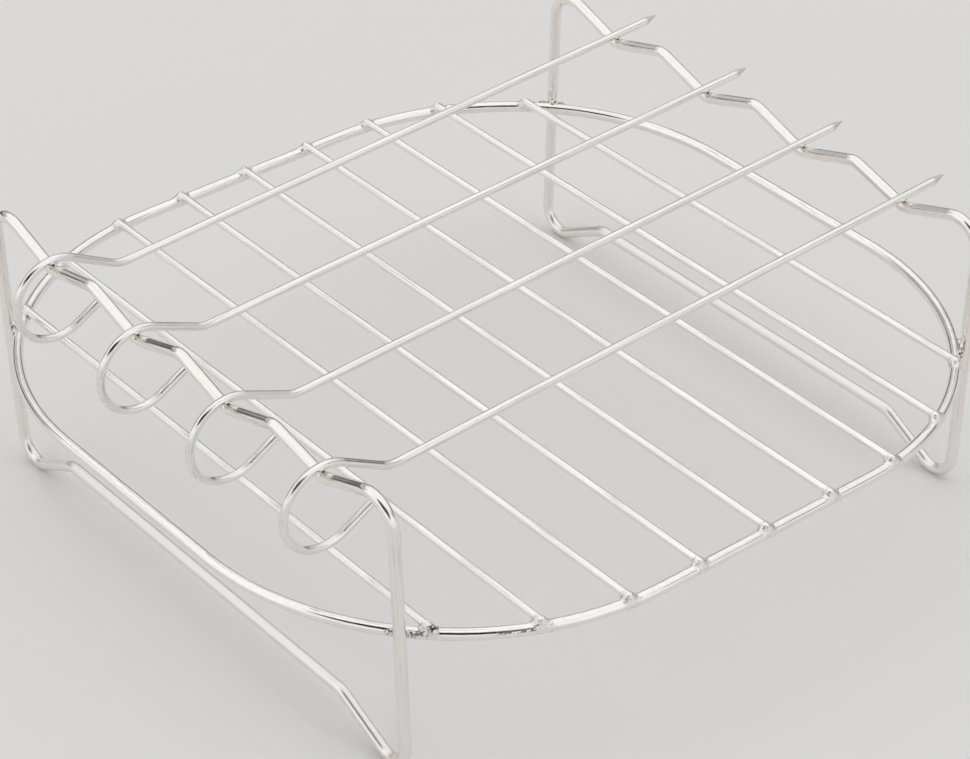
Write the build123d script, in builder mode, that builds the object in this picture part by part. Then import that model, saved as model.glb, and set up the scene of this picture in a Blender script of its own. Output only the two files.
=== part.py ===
from build123d import *
import os
from math import acos, atan2, cos, degrees, hypot, radians, sin, sqrt, tan

os.makedirs("parts", exist_ok=True)

# Two-tier wire rack with four loose skewers, in millimetres.
# The origin is the middle of the floor under the rack and +Z is up. The skewers run along X, with
# their handles at -X and their points at +X. The grid wires and the two side frames run along Y.

# Wire gauges
frame_wire = 2.8
grid_wire = 2.0
skewer_wire = 2.0

# How far one wire is pressed into another where they are welded
grid_weld_depth = 0.8
leg_weld_depth = 0.2

# Ring: one closed wire, a rounded square, that carries the grid half-way up the legs
ring_length = 197.2
ring_width = 191.8
ring_height = 37.5

# Side frames: two closed wires, each with two legs, a low rail and a zigzag top
frame_spacing = 164.8
frame_lean = 1.75
leg_spacing = 148.8
corner_bend = 7.0
foot_bend = 5.7
foot_climb = 27.3
rail_height = 9.1
rail_bend = 5.0

# Zigzag of the top wire: one notch for each skewer, and a peak between two notches. The first
# and last notches are higher than the inner ones, and the handle side is the higher side.
skewer_count = 4
notch_pitch = 33.9
peak_height = 69.9
zigzag_bend = 5.0
inner_notch = 64.4
handle_outer_notch = 65.9
point_outer_notch = 65.1
handle_corner = 74.4
point_corner = 72.9

# Grid: equally spaced wires, set in from both ends of the ring and shifted a little along X
grid_count = 9
grid_inset = 21.4
grid_shift = -0.4
grid_overhang = 0.5
grid_end_round = 0.5

# Skewers
seat_gap = 0.1
loop_radius = 10.3
loop_bottom = 270.0
tail_length = 8.6
tail_angle = 28.5
tail_chamfer = 0.2
handle_bend_inset = 17.4
handle_bend_height = 60.5
handle_bend = 9.0
shaft_overhang = 9.5
point_length = 3.4
point_flat = 0.24
point_rise = 0.45


def lean_out(height):
    """Distance from the middle plane to a side frame's centre line at a height above the floor."""
    return frame_spacing / 2 + height * tan(radians(frame_lean))


# The ring passes just inside the four legs, which are welded to the outside of its corner arcs.
# Its corner radius is the one whose arc runs at this distance inside each leg's centre line.
leg_offset = frame_wire - leg_weld_depth
gap_x = ring_length / 2 - lean_out(ring_height)
gap_y = ring_width / 2 - leg_spacing / 2
gap_sum = gap_x + gap_y + leg_offset
ring_corner = gap_sum + sqrt(gap_sum**2 - gap_x**2 - gap_y**2 + leg_offset**2)
arc_centre_x = ring_length / 2 - ring_corner
arc_centre_y = ring_width / 2 - ring_corner


def ring_edge(x, grow):
    """Y at which the ring's centre line, grown outwards by a distance, passes a place along X."""
    beyond = max(abs(x) - arc_centre_x, 0.0)
    return arc_centre_y + sqrt((ring_corner + grow) ** 2 - beyond**2)


with BuildPart() as ring:
    with BuildLine(Plane.XY.offset(ring_height)) as ring_path:
        FilletPolyline(
            (ring_length / 2, ring_width / 2),
            (-ring_length / 2, ring_width / 2),
            (-ring_length / 2, -ring_width / 2),
            (ring_length / 2, -ring_width / 2),
            radius=ring_corner,
            close=True,
        )
    ring_start = Plane(origin=ring_path.wire() @ 0, z_dir=ring_path.wire() % 0)
    with BuildSketch(ring_start):
        Circle(frame_wire / 2)
    sweep(path=ring_path.wire())
ring.part.label = "ring"
export_step(ring.part, "parts/ring.step")

# Side frames: the corners of a centre line are places along Y and heights up the leaning frame.
# The wire runs over the zigzag from the +Y leg to the -Y leg, and back along the low rail.
lean = radians(frame_lean)
notch_places = [notch_pitch * ((skewer_count - 1) / 2 - i) for i in range(skewer_count)]
foot_low = frame_wire / 2 / cos(lean)
foot_corner = foot_low + foot_bend - foot_bend * tan(radians((90 + foot_climb) / 2))
rail_half = leg_spacing / 2 - (rail_height - foot_corner) / tan(radians(foot_climb))


def top_corners(outer_notch, corner):
    """Corners of a side frame's top, in order along the wire: a leg, the zigzag, the other leg."""
    corners = [(leg_spacing / 2, corner)]
    for i, place in enumerate(notch_places):
        if i > 0:
            corners.append((place + notch_pitch / 2, peak_height))
        is_outer = i in (0, skewer_count - 1)
        corners.append((place, outer_notch if is_outer else inner_notch))
    corners.append((-leg_spacing / 2, corner))
    return corners


handle_top = top_corners(handle_outer_notch, handle_corner)
point_top = top_corners(point_outer_notch, point_corner)
feet_and_rail = [
    (-leg_spacing / 2, foot_corner),
    (-rail_half, rail_height),
    (rail_half, rail_height),
    (leg_spacing / 2, foot_corner),
]
top_bends = [corner_bend] + [zigzag_bend] * (2 * skewer_count - 1) + [corner_bend]
frame_bends = top_bends + [foot_bend, rail_bend, rail_bend, foot_bend]

for side, top, name in (
    (-1, handle_top, "handle_side_frame"),
    (1, point_top, "point_side_frame"),
):
    frame_plane = Plane(
        origin=(side * frame_spacing / 2, 0, 0),
        x_dir=(0, 1, 0),
        z_dir=(cos(lean), 0, -side * sin(lean)),
    )
    with BuildPart() as side_frame:
        with BuildLine(frame_plane) as frame_path:
            FilletPolyline(*top, *feet_and_rail, radius=frame_bends, close=True)
        frame_start = Plane(origin=frame_path.wire() @ 0, z_dir=frame_path.wire() % 0)
        with BuildSketch(frame_start):
            Circle(frame_wire / 2)
        sweep(path=frame_path.wire())
        # Seats where the ring is pressed into the two legs
        add(ring.part, mode=Mode.SUBTRACT)
    side_frame.part.label = name
    export_step(side_frame.part, f"parts/{name}.step")

# Grid wires: straight, laid across the top of the ring and pressed into it at both ends
grid_height = ring_height + frame_wire / 2 + grid_wire / 2 - grid_weld_depth
grid_pitch = (ring_length - 2 * grid_inset) / (grid_count - 1)
for i in range(grid_count):
    grid_x = (i - (grid_count - 1) / 2) * grid_pitch + grid_shift
    half_length = ring_edge(grid_x, grid_overhang)
    with BuildPart() as grid_part:
        with BuildSketch(Plane((grid_x, 0, grid_height), z_dir=(0, 1, 0))):
            Circle(grid_wire / 2)
        extrude(amount=half_length, both=True)
        fillet(grid_part.edges().filter_by(GeomType.CIRCLE), grid_end_round)
        # Seats over the ring
        add(ring.part, mode=Mode.SUBTRACT)
    name = f"grid_wire_{i + 1}"
    grid_part.part.label = name
    export_step(grid_part.part, f"parts/{name}.step")


def notch_floor(top, index):
    """Place and height of the lowest point of a side frame's centre line in one of its notches."""
    before, (place, notch), after = top[2 * index : 2 * index + 3]
    rises = [atan2(height - notch, abs(along - place)) for along, height in (before, after)]
    half_turn = (rises[0] + rises[1]) / 2
    tilt = (rises[0] - rises[1]) / 2
    # The arc's centre lies on the notch's bisector, which leans away from the steeper side
    reach = zigzag_bend / cos(half_turn)
    floor = notch + reach * cos(tilt) - zigzag_bend
    return place - reach * sin(tilt), floor * cos(lean)


# Skewers: each is one wire, bent in its own vertical plane. Its open loop hangs over the handle
# side frame's notch, and its shaft lies in the point side frame's notch.
seat_drop = frame_wire / 2 + skewer_wire / 2 + seat_gap
for i in range(skewer_count):
    seat_y, handle_floor = notch_floor(handle_top, i)
    point_floor = notch_floor(point_top, i)[1]
    loop_centre = (-lean_out(handle_floor), handle_floor + seat_drop - loop_radius)
    bend = (loop_centre[0] + handle_bend_inset, handle_bend_height)
    seat = (lean_out(point_floor), point_floor + seat_drop)
    slope = (seat[1] - bend[1]) / (seat[0] - bend[0])
    point_base = (seat[0] + shaft_overhang, seat[1] + slope * shaft_overhang)

    # The handle leaves the loop along its tangent through the bend
    run_x = bend[0] - loop_centre[0]
    run_z = bend[1] - loop_centre[1]
    start_angle = degrees(atan2(run_z, run_x) + acos(loop_radius / hypot(run_x, run_z)))
    # The tail leaves it past the loop's lowest point, climbing at the tail angle
    end_angle = loop_bottom + tail_angle

    with BuildPart() as skewer:
        with BuildLine(Plane.XZ.offset(-seat_y)) as skewer_path:
            loop = CenterArc(loop_centre, loop_radius, start_angle, end_angle - start_angle)
            tail = PolarLine(loop @ 1, tail_length, direction=loop % 1)
            shaft = FilletPolyline(point_base, bend, loop @ 0, radius=handle_bend)
        point_plane = Plane(origin=shaft @ 0, z_dir=(shaft % 0) * -1)
        with BuildSketch(point_plane):
            Circle(skewer_wire / 2)
        sweep(path=skewer_path.wire())
        ends = skewer.edges().filter_by(GeomType.CIRCLE)
        chamfer(ends.sort_by_distance(tail @ 1)[0], tail_chamfer)
        # Ground point, drawn up to one side of the wire
        apex = point_plane.origin + point_plane.z_dir * point_length + Vector(0, 0, point_rise)
        with BuildSketch(point_plane):
            Circle(skewer_wire / 2)
        with BuildSketch(Plane(origin=apex, z_dir=point_plane.z_dir)):
            Circle(point_flat / 2)
        loft()
    name = f"skewer_{i + 1}"
    skewer.part.label = name
    export_step(skewer.part, f"parts/{name}.step")
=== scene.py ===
# %% [markdown]
# # Two-tier wire rack with four loose skewers
# The rack is bent and welded from round stainless wire, and four skewers lie in its
# notched top rails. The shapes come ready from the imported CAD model. This lesson adds
# what makes such a rack look real: the drawn finish of the wire, the marks of grinding,
# rubbing and welding, the small welds, and a plain studio to see it all in.

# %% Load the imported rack
from math import asin, atan2, cos, hypot, pi, radians, sin, sqrt
from random import Random

import bmesh
import bpy
from mathutils import Matrix, Vector, noise


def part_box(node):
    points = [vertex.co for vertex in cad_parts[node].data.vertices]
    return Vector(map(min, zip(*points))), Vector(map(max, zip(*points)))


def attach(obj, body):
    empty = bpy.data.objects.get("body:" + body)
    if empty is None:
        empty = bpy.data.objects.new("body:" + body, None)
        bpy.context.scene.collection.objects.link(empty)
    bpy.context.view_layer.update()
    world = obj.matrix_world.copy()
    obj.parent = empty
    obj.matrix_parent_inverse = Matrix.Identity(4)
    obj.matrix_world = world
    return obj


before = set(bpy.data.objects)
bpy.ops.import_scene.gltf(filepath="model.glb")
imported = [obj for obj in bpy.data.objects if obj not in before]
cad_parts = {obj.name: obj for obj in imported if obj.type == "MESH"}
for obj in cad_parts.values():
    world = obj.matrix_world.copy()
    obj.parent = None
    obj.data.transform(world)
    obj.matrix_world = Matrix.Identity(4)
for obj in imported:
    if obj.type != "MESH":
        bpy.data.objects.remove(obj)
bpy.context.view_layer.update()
MM = 0.001
print("nodes:", sorted(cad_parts))

# %% [markdown]
# ## The camera
# The photograph looks down on one corner of the rack from about 35 degrees, from far
# enough away that the wires hardly taper. A long lens gives that flat look. A camera
# could be set by eye, but this one's place, turn and lens were worked out from the
# rack's own straight wires, so that each wire falls where the photograph has it.

# %% Camera
IMAGE_WIDTH = 970                               # pixels
FOCAL_PIXELS = 3207.9                           # focal length, in pixels of that image
SENSOR_WIDTH = 36.0                             # mm
CAMERA_PLACE = (-0.39395, -0.48192, 0.45728)    # metres
CAMERA_TILT = 55.28                             # degrees up from straight down
CAMERA_TURN = -39.26                            # degrees round the upright axis
NEAREST_SEEN = 0.01                             # metres
camera_data = bpy.data.cameras.new("camera")
camera_data.sensor_width = SENSOR_WIDTH
camera_data.lens = FOCAL_PIXELS * camera_data.sensor_width / IMAGE_WIDTH
camera_data.clip_start = NEAREST_SEEN
camera = bpy.data.objects.new("camera", camera_data)
camera.location = CAMERA_PLACE
camera.rotation_euler = (radians(CAMERA_TILT), 0.0, radians(CAMERA_TURN))
bpy.context.scene.collection.objects.link(camera)
bpy.context.scene.camera = camera
print("lens in mm:", round(camera_data.lens, 1))

# %% [markdown]
# ## Two small helpers
# Colours are written as the sRGB hex values that a colour picker shows, but shaders
# work in linear light, so one function converts them. The other adds a shader node,
# sets its values and links its inputs, which keeps each material short enough to read.

# %% Helpers for colours and nodes
def linear(hex_colour):
    """Turns an sRGB hex value into the linear colour that a shader needs."""
    parts = [int(hex_colour[i:i + 2], 16) / 255 for i in (1, 3, 5)]
    light = [c / 12.92 if c <= 0.04045 else ((c + 0.055) / 1.055) ** 2.4 for c in parts]
    return light + [1.0]


def add_node(tree, kind, inputs=None, **settings):
    """Adds a node with its settings; each input takes a value or another node's output."""
    node = tree.nodes.new(kind)
    for name, value in settings.items():
        setattr(node, name, value)
    for socket, source in (inputs or {}).items():
        if isinstance(source, bpy.types.NodeSocket):
            tree.links.new(source, node.inputs[socket])
        else:
            node.inputs[socket].default_value = source
    return node


print("white is", linear("#FFFFFF"))

# %% [markdown]
# ## Drawn stainless wire
# Wire is pulled through a row of dies, which leaves it bright, with fine lines along
# its length. On a bent wire the lines follow the bend. A pattern on plain Object
# coordinates would cut across them, and painted lines would need an unwrapped mesh for
# every wire. The lines are therefore drawn round the wire: the surface normal says how
# far round the section a point is, and that stays the same along the whole wire. A
# slow change with position makes the lines start and stop, and a shorter grain breaks
# up the reflections.

# %% Pattern that runs along a wire
LINE_COUNT = 7.0           # die lines across a wire; real ones are finer than a pixel here
LINE_LENGTH = 24 * MM      # how far a die line runs before it fades
GRAIN_COUNT = 16.0         # grain across a wire
GRAIN_LENGTH = 1.6 * MM    # length of a grain; real grit is finer and wouldn't show


def along_wire(tree, place, plane_axis, count, length, detail, roughness):
    """Noise that changes quickly round the wire's section and slowly along it."""
    turns = [count * a for a in plane_axis]
    section = add_node(tree, "ShaderNodeVectorMath", {0: place.outputs["Normal"], 1: turns},
                       operation="MULTIPLY")
    run = add_node(tree, "ShaderNodeVectorMath",
                   {0: place.outputs["Object"], "Scale": 1 / length}, operation="SCALE")
    both = add_node(tree, "ShaderNodeVectorMath", {0: section.outputs[0], 1: run.outputs[0]},
                    operation="ADD")
    pattern = add_node(tree, "ShaderNodeTexNoise",
                       {"Vector": both.outputs[0], "Scale": 1.0,
                        "Detail": detail, "Roughness": roughness})
    return pattern.outputs["Fac"]


print("a die line runs", LINE_LENGTH / MM, "mm, a grain", GRAIN_LENGTH / MM, "mm")

# %% Colour of drawn wire
LINE_EDGE = 0.1            # how softly a die line begins, on the noise's scale of 0 to 1
GRAIN_DARK = 0.3           # the grain is darkest at this value of its noise
GRAIN_CLEAR = 0.6          # and gone at this one
GRAIN_SHADE = 0.55         # share of the clean colour that is left in the darkest grain


def drawn_colour(tree, lines, grain, colour, line_colour, line_share):
    """The metal's own colour, turning to line_colour in the die lines and the grain."""
    clean = add_node(tree, "ShaderNodeMapRange",
                     {"Value": lines, "From Min": line_share - LINE_EDGE, "From Max": line_share})
    mottle = add_node(tree, "ShaderNodeMapRange",
                      {"Value": grain, "From Min": GRAIN_DARK, "From Max": GRAIN_CLEAR,
                       "To Min": GRAIN_SHADE})
    bright = add_node(tree, "ShaderNodeMath",
                      {0: clean.outputs["Result"], 1: mottle.outputs["Result"]},
                      operation="MULTIPLY")
    tint = add_node(tree, "ShaderNodeMix",
                    {"Factor": bright.outputs[0], "A": linear(line_colour), "B": linear(colour)},
                    data_type="RGBA")
    return tint.outputs["Result"]


print("the darkest grain keeps", GRAIN_SHADE, "of the colour")

# %% Relief of drawn wire
LINE_DEPTH = 0.03 * MM
GRAIN_DEPTH = 0.012 * MM
RELIEF_STRENGTH = 0.5


def drawn_relief(tree, lines, grain):
    """Tips the surface a little along the die lines, and more finely at the grain."""
    ridges = add_node(tree, "ShaderNodeBump",
                      {"Height": lines, "Strength": RELIEF_STRENGTH, "Distance": LINE_DEPTH})
    rough = add_node(tree, "ShaderNodeBump",
                     {"Height": grain, "Strength": RELIEF_STRENGTH, "Distance": GRAIN_DEPTH,
                      "Normal": ridges.outputs["Normal"]})
    return rough.outputs["Normal"]


print("depth of lines and grain in mm:", LINE_DEPTH / MM, GRAIN_DEPTH / MM)

# %% Drawn stainless material
HAZE_SIZE = 9 * MM         # patches of the wire came out of the dies smoother or duller
HAZE_NOISE = (0.3, 0.7)    # the noise that makes them hardly leaves this range
HAZE_CHANGE = (0.75, 1.3)  # they change the roughness by these factors


def drawn_stainless(name, colour, line_colour, plane_axis, roughness, line_share=0.42):
    """Bright drawn wire; lines show where their noise is below line_share.

    plane_axis is square to the plane of the bends, or lies across a straight wire.
    """
    material = bpy.data.materials.new(name)
    material.use_nodes = True
    tree = material.node_tree
    tree.nodes.clear()
    place = add_node(tree, "ShaderNodeTexCoord")
    lines = along_wire(tree, place, plane_axis, LINE_COUNT, LINE_LENGTH, detail=2.0, roughness=0.6)
    grain = along_wire(tree, place, plane_axis, GRAIN_COUNT, GRAIN_LENGTH, detail=3.0, roughness=0.7)
    haze = add_node(tree, "ShaderNodeTexNoise",
                    {"Vector": place.outputs["Object"], "Scale": 1 / HAZE_SIZE, "Detail": 2.0})
    tint = drawn_colour(tree, lines, grain, colour, line_colour, line_share)
    dullness = add_node(tree, "ShaderNodeMapRange",
                        {"Value": haze.outputs["Fac"],
                         "From Min": HAZE_NOISE[0], "From Max": HAZE_NOISE[1],
                         "To Min": roughness * HAZE_CHANGE[0], "To Max": roughness * HAZE_CHANGE[1]})
    relief = drawn_relief(tree, lines, grain)
    shader = add_node(tree, "ShaderNodeBsdfPrincipled",
                      {"Base Color": tint, "Metallic": 1.0,
                       "Roughness": dullness.outputs["Result"], "Normal": relief})
    add_node(tree, "ShaderNodeOutputMaterial", {"Surface": shader.outputs[0]})
    return material


print("size of the smoother and duller patches in mm:", HAZE_SIZE / MM)

# %% [markdown]
# ## Five finishes
# All the wire is plain stainless, but it doesn't look the same everywhere: the thick
# wire is smoother than the thin one, and weld metal has melted and set again. One
# finish for all of it would do from far away. Close up the eye tells the wires apart,
# so each kind has its own colours, its own roughness and its own share of die lines.

# %% Finishes
# Smooth thick wire: it shows narrow, sharp streaks that follow the curve.
ring_steel = drawn_stainless("drawn_stainless_ring", "#F9F6F4", "#DAD7D4", (0, 0, 1),
                             roughness=0.12)
# The same wire, handled more: its streaks are softer, and it looks a little warmer.
frame_steel = drawn_stainless("drawn_stainless_side_frames", "#F9F4F0", "#DDD8D4", (1, 0, 0),
                              roughness=0.15)
# Thin wire, left as drawn: evenly pale, because its reflections are too soft for streaks.
grid_steel = drawn_stainless("drawn_stainless_grid", "#FBFAF9", "#E2E0DE", (1, 0, 1),
                             roughness=0.23, line_share=0.45)
# Thin wire with more die lines: greyer threads run along the pale shafts.
skewer_steel = drawn_stainless("drawn_stainless_skewers", "#F9F7F5", "#D6D3CF", (0, 1, 1),
                               roughness=0.18, line_share=0.46)
# Metal that melted and set: dull and pitted, with grey in the hollows.
weld_steel = drawn_stainless("fused_stainless_welds", "#F9F6F4", "#B4ADA8", (1, 1, 1),
                             roughness=0.30, line_share=0.40)
print("finishes:", [material.name for material in bpy.data.materials if "stainless" in material.name])

# %% [markdown]
# ## Ground points, rubbed feet and scorch marks
# The points are ground on a wheel, which leaves them duller, greyer and without die
# lines. The feet and the low rails rub on the basket, which dulls them. The heat of
# welding leaves small dark specks: in the welds beside the legs, on the end of the
# first grid wire, and on the ring beside it. Such marks could be painted by hand. A
# soft box in the part's own space needs no unwrapped mesh, and a few numbers move it.
# A fine noise breaks the scorch marks into specks.

# %% Soft box
BOX_CORE = 0.6             # a mark is full up to this share of its box, and fades from there


def region(tree, spot, centre, half):
    """1 inside a soft-edged box round centre, 0 outside it."""
    shifted = add_node(tree, "ShaderNodeVectorMath", {0: spot, 1: centre}, operation="SUBTRACT")
    scaled = add_node(tree, "ShaderNodeVectorMath", {0: shifted.outputs[0], 1: half},
                      operation="DIVIDE")
    away = add_node(tree, "ShaderNodeVectorMath", {0: scaled.outputs[0]}, operation="ABSOLUTE")
    axes = add_node(tree, "ShaderNodeSeparateXYZ", {"Vector": away.outputs[0]})
    widest = axes.outputs["X"]
    for axis in ("Y", "Z"):
        widest = add_node(tree, "ShaderNodeMath", {0: widest, 1: axes.outputs[axis]},
                          operation="MAXIMUM").outputs[0]
    box = add_node(tree, "ShaderNodeMapRange",
                   {"Value": widest, "From Min": 1.0, "From Max": BOX_CORE})
    return box.outputs["Result"]


print("a mark is full over", BOX_CORE, "of its box")

# %% Second finish in one place
def blend_finish(material, share, colour, roughness):
    """Lays another colour and roughness over a material where share is 1."""
    tree = material.node_tree
    shader = next(n for n in tree.nodes if n.type == "BSDF_PRINCIPLED")
    old_colour = shader.inputs["Base Color"].links[0].from_socket
    old_roughness = shader.inputs["Roughness"].links[0].from_socket
    tint = add_node(tree, "ShaderNodeMix",
                    {"Factor": share, "A": old_colour, "B": linear(colour)}, data_type="RGBA")
    dullness = add_node(tree, "ShaderNodeMapRange",
                        {"Value": share, "To Min": old_roughness, "To Max": roughness})
    tree.links.new(tint.outputs["Result"], shader.inputs["Base Color"])
    tree.links.new(dullness.outputs["Result"], shader.inputs["Roughness"])
    print(material.name, "has a mark of", colour)


# %% Ground points
POINT_START = 93.6 * MM    # where the grinding begins along X
POINT_END = 98.0 * MM      # the tip
POINT_REACH = 0.6          # half the box's length, as a share of the point's
WHOLE_RACK = 1.0           # metres; a half size that takes in everything
DULLED = 0.30              # roughness of ground and of rubbed steel
skewer_tree = skewer_steel.node_tree
spot = add_node(skewer_tree, "ShaderNodeTexCoord").outputs["Object"]
point_x = (POINT_START + POINT_END) / 2
point_half = POINT_REACH * (POINT_END - POINT_START)
ground = region(skewer_tree, spot, (point_x, 0, 0), (point_half, WHOLE_RACK, WHOLE_RACK))
blend_finish(skewer_steel, ground, "#D4D5CC", DULLED)

# %% Rubbed feet
RUBBED_HEIGHT = 22 * MM    # the rubbing has faded out at this height
frame_tree = frame_steel.node_tree
spot = add_node(frame_tree, "ShaderNodeTexCoord").outputs["Object"]
rubbed = region(frame_tree, spot, (0, 0, 0), (WHOLE_RACK, WHOLE_RACK, RUBBED_HEIGHT))
blend_finish(frame_steel, rubbed, "#F6F2EE", DULLED)

# %% Specks of weld heat
SPECK = 0.55 * MM          # size of a speck
SPECK_EDGE = 0.06          # how softly a speck begins, on the noise's scale of 0 to 1
SCORCHED = 0.45            # roughness of scorched steel


def scorch(material, centre, half, colour, threshold, mirrored=False):
    """Dark specks in a box, where a noise passes threshold.

    mirrored repeats the box in each quarter of the rack.
    """
    tree = material.node_tree
    place = add_node(tree, "ShaderNodeTexCoord").outputs["Object"]
    spot = place
    if mirrored:
        spot = add_node(tree, "ShaderNodeVectorMath", {0: place}, operation="ABSOLUTE").outputs[0]
    box = region(tree, spot, centre, half)
    specks = add_node(tree, "ShaderNodeTexNoise",
                      {"Vector": place, "Scale": 1 / SPECK, "Detail": 2.0})
    broken = add_node(tree, "ShaderNodeMapRange",
                      {"Value": specks.outputs["Fac"],
                       "From Min": threshold, "From Max": threshold + SPECK_EDGE})
    marked = add_node(tree, "ShaderNodeMath", {0: box, 1: broken.outputs["Result"]},
                      operation="MULTIPLY")
    blend_finish(material, marked.outputs[0], colour, SCORCHED)


print("speck size in mm:", SPECK / MM)

# %% Scorch marks
BESIDE_LEG = (82 * MM, 73 * MM, 38.3 * MM)
FIRST_WIRE_END = (-77.2 * MM, -78.6 * MM, 39.9 * MM)
RING_BESIDE_IT = (-62.4 * MM, -88.7 * MM, 38.2 * MM)
# Each call gives the middle of a box, its half sizes and the colour of its specks.
scorch(weld_steel, BESIDE_LEG, (6 * MM, 6 * MM, 0.8 * MM), "#86807A", 0.48, mirrored=True)
for metal in (weld_steel, grid_steel):
    scorch(metal, FIRST_WIRE_END, (1.5 * MM, 1.7 * MM, 1.3 * MM), "#3E3A37", 0.45)
scorch(ring_steel, RING_BESIDE_IT, (6.5 * MM, 5 * MM, 0.45 * MM), "#8A857F", 0.48)

# %% [markdown]
# ## A finish for every wire
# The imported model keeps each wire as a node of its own, named for what it is. Finishes
# could be given by hand, one wire after another. The names do it in one short loop, and
# no wire is missed.

# %% Finish of each node
def finish_of(name):
    """The finish that belongs to a node of this name."""
    if name == "ring":
        return ring_steel
    if name.endswith("side_frame"):
        return frame_steel
    if name.startswith("grid_wire"):
        return grid_steel
    return skewer_steel


for name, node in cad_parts.items():
    for material_slot in node.material_slots:
        material_slot.material = finish_of(name)
print("finishes given to", len(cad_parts), "nodes")

# %% [markdown]
# ## Weld metal
# Each grid wire is spot welded on top of the ring. Two copper electrodes squeeze the
# crossing, the wires heat, and soft steel flows into the corners between them. Cooled,
# it is a thin rough skin over the crossing with a smooth hollow fillet in each corner,
# and a stray drop or two. It could be sculpted, but eighteen welds are many to sculpt.
# Instead a ball round each crossing is shrunk until it lies on both wires. How far a
# point is from the nearest wire is one short formula each, and blending the two
# distances is what makes the fillets. Noise makes every skin a different one.

# %% Shape of the ring
FRAME_WIRE = 2.8 * MM      # thickness of the ring's and the side frames' wire
RING_CORNER = 68.3 * MM    # radius of the ring's corners, at the middle of the wire
ring_low, ring_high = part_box("ring")
ring_half_x = (ring_high.x - ring_low.x - FRAME_WIRE) / 2
ring_half_y = (ring_high.y - ring_low.y - FRAME_WIRE) / 2
ring_middle_z = (ring_low.z + ring_high.z) / 2


def ring_direction(x):
    """Y of the ring's centre line on its +Y side at a place along X, and the wire's turn."""
    beyond = max(abs(x) - (ring_half_x - RING_CORNER), 0.0)
    reach = sqrt(RING_CORNER ** 2 - beyond ** 2)
    turn = asin(beyond / RING_CORNER)
    return ring_half_y - RING_CORNER + reach, -turn if x > 0 else turn


print("ring half sizes in mm:", round(ring_half_x / MM, 2), round(ring_half_y / MM, 2))

# %% How far a point is from the wires
FILLET = 1.5 * MM          # how wide the weld metal fills a corner


def ring_distance(point):
    """Distance from the ring's surface, less than 0 inside the wire."""
    beyond = max(abs(point.x) - (ring_half_x - RING_CORNER), 0.0)
    across = hypot(beyond, abs(point.y) - (ring_half_y - RING_CORNER)) - RING_CORNER
    return hypot(across, point.z - ring_middle_z) - FRAME_WIRE / 2


def wire_distance(point, x, z, end_y, radius):
    """Distance from a round-ended grid wire that runs along Y."""
    past_end = max(abs(point.y) - (end_y - radius), 0.0)
    return hypot(point.x - x, point.z - z, past_end) - radius


def blended(one, other):
    """The smaller distance, lowered where both are small: that fills the corner."""
    near = max(FILLET - abs(one - other), 0.0) / FILLET
    return min(one, other) - near * near * FILLET / 4


middle_distance = ring_distance(Vector((0, ring_half_y, ring_middle_z)))
print("from the ring's surface to its middle in mm:", round(middle_distance / MM, 2))

# %% Weld skin over a crossing
SHRINK_STEPS = 14          # enough for the ball to come to rest on the wires
SWELL_COUNT = 2.2          # broad swellings over a ball
PIT_COUNT = 6.0            # finer pits over it
REACH_SWELL = 0.12         # how much the swellings change the ball's size
RISE_SWELL = 0.5           # how much they change the skin's height
RISE_PITS = 0.9            # and how much the pits do
RIM_SINK = 1.7             # above 1, the skin's rim goes under the surface of the wires


def weld_skin(mesh, centre, reach, distance, lift, seed):
    """Shrinks a ball of radius reach onto the wires, with a skin that rises by lift."""
    made = bmesh.ops.create_icosphere(mesh, subdivisions=5, radius=1.0)
    outside = ring_half_y + FRAME_WIRE / 2
    for vert in made["verts"]:
        way = vert.co.normalized()
        swell = noise.noise(way * SWELL_COUNT + Vector((seed, 0, 0)))
        pits = noise.noise(way * PIT_COUNT + Vector((0, seed, 0)))
        stretch = reach * (1 + REACH_SWELL * swell)
        far = stretch
        for _ in range(SHRINK_STEPS):
            rim = (far / stretch) ** 2
            rise = lift * (1 + RISE_SWELL * swell + RISE_PITS * pits - RIM_SINK * rim)
            far -= max(distance(centre + way * far) - rise, 0.0)
        vert.co = centre + way * far
        vert.co.y = max(-outside, min(outside, vert.co.y))


print("a skin is shrunk in", SHRINK_STEPS, "steps")

# %% Drops and lumps of weld metal
LUMP_SWELL = 0.14          # how far a lump departs from a smooth ball
LUMP_SWELL_COUNT = 1.4     # broad swellings over a lump
LUMP_PIT_COUNT = 4.0       # finer pits over it
LUMP_PITS = 0.3            # depth of the pits, as a share of the swellings


def weld_lump(mesh, centre, turn, size, seed):
    """Adds one rough flattened ball; size is its half sizes along, across and up."""
    made = bmesh.ops.create_icosphere(mesh, subdivisions=3, radius=1.0)
    for vert in made["verts"]:
        swell = noise.noise(vert.co * LUMP_SWELL_COUNT + Vector((seed, 0, 0)))
        pits = noise.noise(vert.co * LUMP_PIT_COUNT + Vector((0, seed, 0)))
        vert.co = vert.co * (1 + LUMP_SWELL * (swell + LUMP_PITS * pits))
    place = Matrix.Translation(centre) @ Matrix.Rotation(turn, 4, "Z")
    bmesh.ops.transform(mesh, verts=made["verts"], matrix=place @ Matrix.Diagonal((*size, 1)))


print("swellings of a lump, as a share of its size:", LUMP_SWELL)

# %% Finished piece
def finished_piece(name, mesh, material):
    """Turns a bmesh into a smooth piece that rides on the rack."""
    bmesh.ops.recalc_face_normals(mesh, faces=mesh.faces)
    for face in mesh.faces:
        face.smooth = True
    data = bpy.data.meshes.new(name)
    mesh.to_mesh(data)
    mesh.free()
    data.materials.append(material)
    piece = bpy.data.objects.new(name, data)
    bpy.context.scene.collection.objects.link(piece)
    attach(piece, "root")
    print(name, "triangles:", len(data.polygons))


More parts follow.
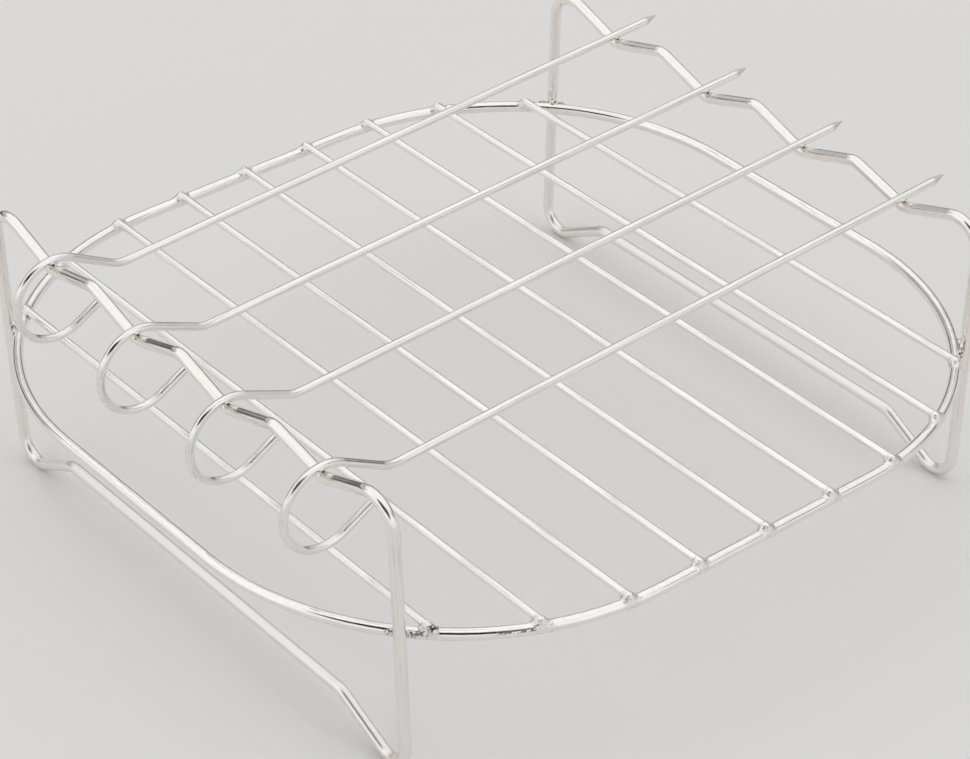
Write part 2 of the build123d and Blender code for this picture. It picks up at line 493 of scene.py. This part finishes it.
# %% One weld between a grid wire and the ring
WELD_REACH = 2.8 * MM              # how far the metal spreads from the crossing
WELD_LIFT = 0.10 * MM              # how thick the skin is over the wires
END_COVER = 0.1 * MM               # the metal covers the wire's end by this much
OUTWARD = 0.1 * MM                 # the ball sits this far outside the ring's middle
DROP = (0.85 * MM, 0.7 * MM, 0.5 * MM)    # half sizes along the ring, across it and up
DROP_REACH = (1.4, 2.1)            # mm along the ring from the crossing
DROP_SINK = (0.35, 0.6)            # mm below the top of the ring
DROP_OUTWARD = (0.2, 0.5)          # mm towards the outside of the ring
DROP_SIZE = (0.7, 1.1)             # smallest and largest share of the full size
dice = Random(7)


def grid_weld(mesh, number, end):
    """A skin over the crossing of one wire and the ring, and a drop on each side of it."""
    low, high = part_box("grid_wire_%d" % number)
    x = (low.x + high.x) / 2
    wire_z = (low.z + high.z) / 2
    wire_radius = (high.x - low.x) / 2
    wire_end = max(-low.y, high.y) + END_COVER
    y, turn = ring_direction(x)
    turn = end * turn
    seed = number + 20 * end    # every weld has its own, so no two look alike

    def crossing(point):
        """Distance from the ring and this wire together."""
        wire = wire_distance(point, x, wire_z, wire_end, wire_radius)
        return blended(ring_distance(point), wire)

    centre = Vector((x, end * (y + OUTWARD), (ring_middle_z + wire_z) / 2))
    weld_skin(mesh, centre, WELD_REACH, crossing, WELD_LIFT, seed)
    joint = Vector((x, end * y, ring_high.z))
    along = Vector((cos(turn), sin(turn), 0))
    outwards = Vector((sin(-turn) * end, cos(turn) * end, 0))
    for hand in (-1, 1):
        reach = dice.uniform(*DROP_REACH) * MM
        sink = Vector((0, 0, dice.uniform(*DROP_SINK) * MM))
        place = joint + along * hand * reach + outwards * dice.uniform(*DROP_OUTWARD) * MM - sink
        size = [s * dice.uniform(*DROP_SIZE) for s in DROP]
        weld_lump(mesh, place, turn, size, seed + 9 * hand)


print("a weld spreads mm:", WELD_REACH / MM)

# %% Welds between the grid and the ring
GRID_WIRES = 9
for end, name in ((-1, "front_grid_welds"), (1, "rear_grid_welds")):
    mesh = bmesh.new()
    for number in range(1, GRID_WIRES + 1):
        grid_weld(mesh, number, end)
    finished_piece(name, mesh, weld_steel)

# %% [markdown]
# ## Welds between the legs and the ring
# The legs stand outside the ring and touch it in one spot each. The squeezed metal
# shows as a small lump in the two corners beside each leg. The skin of the grid welds
# could be used here too, but so little of these welds shows between the wires that a
# rough ball in each corner is enough.

# %% Leg welds
LEG_X = 83.55 * MM         # the leaning legs pass the ring's height at this X
LEG_WELD = (1.5 * MM, 0.75 * MM, 1.0 * MM)    # half sizes along the ring, across it and up
LEG_WELD_OUTWARD = 1.15 * MM                  # from the middle of the ring's wire to the leg
LEG_WELD_SIDE = 2.1                           # mm along the ring from the middle of the leg
LEG_WELD_RISE = 0.45 * MM                     # above the middle of the ring's wire
mesh = bmesh.new()
for side, frame_name in ((-1, "handle_side_frame"), (1, "point_side_frame")):
    low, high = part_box(frame_name)
    leg_y = (high.y - low.y - FRAME_WIRE) / 2
    corner_x = side * (ring_half_x - RING_CORNER)
    for end in (-1, 1):
        corner = Vector((corner_x, end * (ring_half_y - RING_CORNER), ring_middle_z))
        way = Vector((side * LEG_X, end * leg_y, ring_middle_z)) - corner
        way.normalize()
        touch = corner + way * (RING_CORNER + LEG_WELD_OUTWARD)
        along = Vector((-way.y, way.x, 0))
        turn = atan2(along.y, along.x)
        rise = Vector((0, 0, LEG_WELD_RISE))
        for hand in (-1, 1):
            seed = 40 + 3 * side + 5 * end + hand
            place = touch + along * hand * LEG_WELD_SIDE * MM + rise
            weld_lump(mesh, place, turn, LEG_WELD, seed)
finished_piece("leg_welds", mesh, weld_steel)

# %% [markdown]
# ## The studio
# A metal part is seen mostly by what it mirrors. It could be lit with strong lamps in a
# dark room, but bare lamps make hard white spots on wire. Here a pale floor lights the
# wires from below, a pale room lights them from all round, and three large, weak panels
# add a soft side to the light.

# %% Floor
FLOOR_SIZE = 6.0           # metres
PAPER_ROUGHNESS = 0.95
floor_mesh = bmesh.new()
bmesh.ops.create_grid(floor_mesh, x_segments=1, y_segments=1, size=FLOOR_SIZE / 2)
floor_data = bpy.data.meshes.new("floor")
floor_mesh.to_mesh(floor_data)
floor_mesh.free()
floor = bpy.data.objects.new("floor", floor_data)
bpy.context.scene.collection.objects.link(floor)
# Matt paper: it shows one even pale tone and no reflection of the rack.
paper = bpy.data.materials.new("matt_paper")
paper.use_nodes = True
paper_shader = paper.node_tree.nodes["Principled BSDF"]
paper_shader.inputs["Base Color"].default_value = linear("#F0EFED")
paper_shader.inputs["Roughness"].default_value = PAPER_ROUGHNESS
floor_data.materials.append(paper)
print("floor in metres:", FLOOR_SIZE)

# %% Lamps
def panel(name, azimuth, elevation, distance, size, brightness):
    """A square soft panel that faces the rack; brightness 1 is as bright as white paper."""
    lamp = bpy.data.lights.new(name, "AREA")
    lamp.size = size
    lamp.energy = brightness * pi * size ** 2
    lamp_object = bpy.data.objects.new(name, lamp)
    a, e = radians(azimuth), radians(elevation)
    way = Vector((cos(e) * cos(a), cos(e) * sin(a), sin(e)))
    lamp_object.location = way * distance
    lamp_object.rotation_euler = way.to_track_quat("Z", "Y").to_euler()
    bpy.context.scene.collection.objects.link(lamp_object)


panel("overhead_panel", azimuth=90, elevation=78, distance=1.7, size=2.4, brightness=0.08)
panel("left_panel", azimuth=150, elevation=28, distance=2.0, size=1.6, brightness=0.08)
panel("right_panel", azimuth=-70, elevation=30, distance=2.2, size=1.2, brightness=0.06)

# %% [markdown]
# ## The room that the wires mirror
# A round wire squeezes the whole room into one narrow band: a wall becomes a streak,
# and the stand of the camera a thin dark line. These lines are what makes a wire look
# round. A picture of a real room could be wrapped round the scene. A few soft shapes
# laid over one pale level give the same streaks, and each can be moved by its numbers.
# The camera itself sees none of them: its rays get the room's pale level everywhere, so
# that the background stays plain from every side.

# %% Directions in the room
world = bpy.data.worlds.new("studio")
world.use_nodes = True
room = world.node_tree
room.nodes.clear()
direction = add_node(room, "ShaderNodeTexCoord").outputs["Generated"]
# A height in the room is the Z of a direction: 0 at the horizon and 1 straight up.
height = add_node(room, "ShaderNodeSeparateXYZ", {"Vector": direction}).outputs["Z"]


def towards(azimuth, elevation=0):
    """How far a direction in the room agrees with the one given, from -1 to 1."""
    a, e = radians(azimuth), radians(elevation)
    aim = (cos(e) * cos(a), cos(e) * sin(a), sin(e))
    return add_node(room, "ShaderNodeVectorMath", {0: direction, 1: aim},
                    operation="DOT_PRODUCT").outputs["Value"]


def step(value, start, end):
    """Rises smoothly from 0 to 1 while the value goes from start to end."""
    return add_node(room, "ShaderNodeMapRange",
                    {"Value": value, "From Min": start, "From Max": end},
                    interpolation_type="SMOOTHSTEP").outputs["Result"]


print("the room's world:", world.name)

# %% Shapes on the walls
def wall_patch(azimuth, side, foot, top):
    """1 on a patch of wall; side, foot and top say where an edge starts and where it is full."""
    edges = (step(towards(azimuth), *side), step(height, *foot), step(height, *top))
    patch = edges[0]
    for edge in edges[1:]:
        patch = add_node(room, "ShaderNodeMath", {0: patch, 1: edge},
                         operation="MULTIPLY").outputs[0]
    return patch


def covered(below, share, value):
    """The brightness below, with another one laid over it where share is 1."""
    return add_node(room, "ShaderNodeMapRange",
                    {"Value": share, "To Min": below, "To Max": value}).outputs["Result"]


dim = wall_patch(40, side=(-0.1, 0.3), foot=(0.0, 0.05), top=(0.60, 0.45))
gap = wall_patch(50, side=(0.05, 0.35), foot=(0.07, 0.10), top=(0.30, 0.26))
rail = wall_patch(94, side=(0.70, 0.76), foot=(0.41, 0.45), top=(0.56, 0.52))
print("nodes for three patches of wall:", len(room.nodes))

# %% Brightness of the room
ROOM_LIGHT = 0.96          # pale walls and ceiling, and all that the camera sees of them
ROOM_DIM = 0.62            # the lower part of the room's far side
ROOM_FOOT = 0.84           # the foot of every wall, where less of the light arrives
ROOM_RAIL = 0.40           # the rail of the left panel, and a small grey stand
ROOM_GAP = 0.06            # the gap behind the far edge of the table
ROOM_DARK = 0.02           # the camera and the dark stands on its side of the room
FOOT_EDGE = (-0.05, 0.35)  # the foot of the walls fades out between these heights
# The dark stands: azimuth, elevation, and how nearly a direction points there at the edge.
DARK_STANDS = ((-122, 40, 0.945), (-146, 46, 0.945), (-166, 49, 0.955))
STAND_EDGE = 0.013         # how softly a stand begins
GREY_STAND = (-48, 29)
GREY_STAND_EDGE = (0.984, 0.989)
level = covered(ROOM_FOOT, step(height, *FOOT_EDGE), ROOM_LIGHT)
level = covered(level, dim, ROOM_DIM)
level = covered(level, gap, ROOM_GAP)
level = covered(level, rail, ROOM_RAIL)
for azimuth, elevation, edge in DARK_STANDS:
    stand = step(towards(azimuth, elevation), edge, edge + STAND_EDGE)
    level = covered(level, stand, ROOM_DARK)
level = covered(level, step(towards(*GREY_STAND), *GREY_STAND_EDGE), ROOM_RAIL)
print("dark stands:", len(DARK_STANDS))

# %% Light from the room
ray = add_node(room, "ShaderNodeLightPath")
strength = covered(level, ray.outputs["Is Camera Ray"], ROOM_LIGHT)
light = add_node(room, "ShaderNodeBackground",
                 {"Color": linear("#FFFFFF"), "Strength": strength})
add_node(room, "ShaderNodeOutputWorld", {"Surface": light.outputs[0]})
bpy.context.scene.world = world
bpy.context.scene.view_settings.view_transform = "Standard"
print("room nodes:", len(room.nodes))
